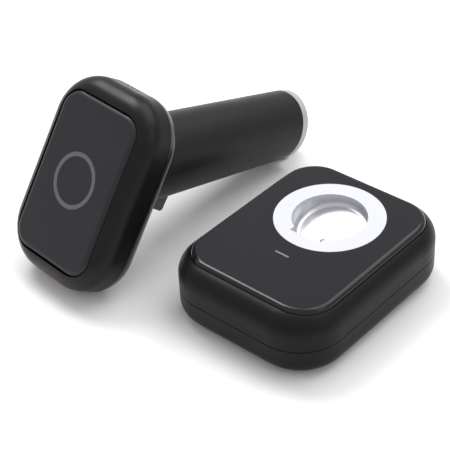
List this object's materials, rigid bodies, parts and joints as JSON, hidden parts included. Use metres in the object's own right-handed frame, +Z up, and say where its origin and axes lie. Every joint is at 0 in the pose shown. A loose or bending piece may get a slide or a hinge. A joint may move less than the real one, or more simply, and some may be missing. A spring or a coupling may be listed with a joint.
{
  "type": "cordless handheld reader with charging cradle",
  "caption": "Pistol-grip cordless handheld reader with a flat head and trigger, lying beside its low charging cradle with a round socket.",
  "frame": {"origin": "on the floor under the middle of the cradle, at the centre of its anti-slip pad", "axes": "+Z up, +Y along the cradle from its indicator end to its socket end, +X to the right seen from the indicator end; the handheld lies on the -X side"},
  "size_m": [0.157, 0.1522, 0.0796],
  "materials": {
    "cradle_lower_shell": "fine satin moulding texture",
    "cradle_upper_shell": "fine satin moulding texture",
    "cradle_top_plate": "polished piano black",
    "socket_ring": "smooth pearl white",
    "socket_cup": "silver lacquer",
    "charge_pin_block": "plain moulding",
    "charge_pin_front": "gold plated",
    "charge_pin_back": "gold plated",
    "cradle_board": "solder mask green",
    "usb_inlet": "plated shell",
    "cradle_light_pipe": "frosted clear",
    "cradle_indicator_led": "moulded",
    "ballast_plate": "zinc plated",
    "base_pad": "soft matte",
    "cradle_screws": "zinc plated",
    "head_front_shell": "fine satin moulding texture",
    "head_back_shell": "fine satin moulding texture",
    "face_panel": "soft-touch matte",
    "status_ring": "frosted light guide",
    "status_board": "solder mask green",
    "head_board": "solder mask green",
    "buzzer": "plain moulding",
    "scan_window": "tinted filter",
    "scan_engine": "black anodised look",
    "lens_barrel": "black anodised",
    "lens": "coated",
    "illumination_leds": "moulded dome",
    "handle_tube": "satin black",
    "handle_chassis": "plain moulding",
    "battery_cell": "shrink sleeve",
    "battery_contacts": "nickel plated",
    "switch_board": "solder mask green",
    "trigger_switch": "plain moulding",
    "switch_plunger": "plain moulding",
    "trigger": "satin grey",
    "trigger_pin": "ground pin",
    "end_ring": "satin silver grey",
    "end_plug": "plain moulding",
    "charge_contacts": "gold plated",
    "head_screws": "zinc plated"
  },
  "bodies": {
    "cradle": {"cradle_lower_shell": "cradle_lower_shell", "cradle_upper_shell": "cradle_upper_shell", "cradle_top_plate": "cradle_top_plate", "socket_ring": "socket_ring", "socket_cup": "socket_cup", "charge_pin_block": "charge_pin_block", "cradle_board": "cradle_board", "usb_inlet": "usb_inlet", "cradle_light_pipe": "cradle_light_pipe", "cradle_indicator_led": "cradle_indicator_led", "ballast_plate": "ballast_plate", "base_pad": "base_pad", "cradle_screws": "cradle_screws"},
    "handheld": {"head_front_shell": "head_front_shell", "head_back_shell": "head_back_shell", "face_panel": "face_panel", "status_ring": "status_ring", "status_board": "status_board", "head_board": "head_board", "buzzer": "buzzer", "scan_window": "scan_window", "scan_engine": "scan_engine", "lens_barrel": "lens_barrel", "lens": "lens", "illumination_leds": "illumination_leds", "handle_tube": "handle_tube", "handle_chassis": "handle_chassis", "battery_cell": "battery_cell", "battery_contacts": "battery_contacts", "switch_board": "switch_board", "trigger_switch": "trigger_switch", "trigger_pin": "trigger_pin", "end_ring": "end_ring", "end_plug": "end_plug", "charge_contacts": "charge_contacts", "head_screws": "head_screws"},
    "trigger": {"trigger": "trigger"},
    "plunger": {"switch_plunger": "switch_plunger"},
    "pin_front": {"charge_pin_front": "charge_pin_front"},
    "pin_back": {"charge_pin_back": "charge_pin_back"}
  },
  "joints": [
    {"name": "lift_handheld", "type": "slide", "parent": "cradle", "child": "handheld", "axis": [0, 0, 1], "range_m": [0, 0.15]},
    {"name": "trigger_pull", "type": "hinge", "parent": "handheld", "child": "trigger", "pos_m": [-0.08439, -0.02316, 0.03181], "axis": [0.9957, -0.0924, 0], "range_deg": [0, 4], "stiffness_Nm_per_rad": 0.4, "springref_deg": -1.72},
    {"name": "plunger_slide", "type": "slide", "parent": "handheld", "child": "plunger", "axis": [0.0234, 0.2527, 0.9673], "range_m": [0, 0.0015]},
    {"name": "pin_front_slide", "type": "slide", "parent": "cradle", "child": "pin_front", "axis": [0, 0.1994, -0.9799], "range_m": [0, 0.0015], "stiffness_N_per_m": 400, "springref_m": -0.0004},
    {"name": "pin_back_slide", "type": "slide", "parent": "cradle", "child": "pin_back", "axis": [0, 0.1994, -0.9799], "range_m": [0, 0.0015], "stiffness_N_per_m": 400, "springref_m": -0.0004}
  ],
  "couplings": [
    {"joint": "plunger_slide", "follows": "trigger_pull", "m_per_rad": 0.02}
  ]
}
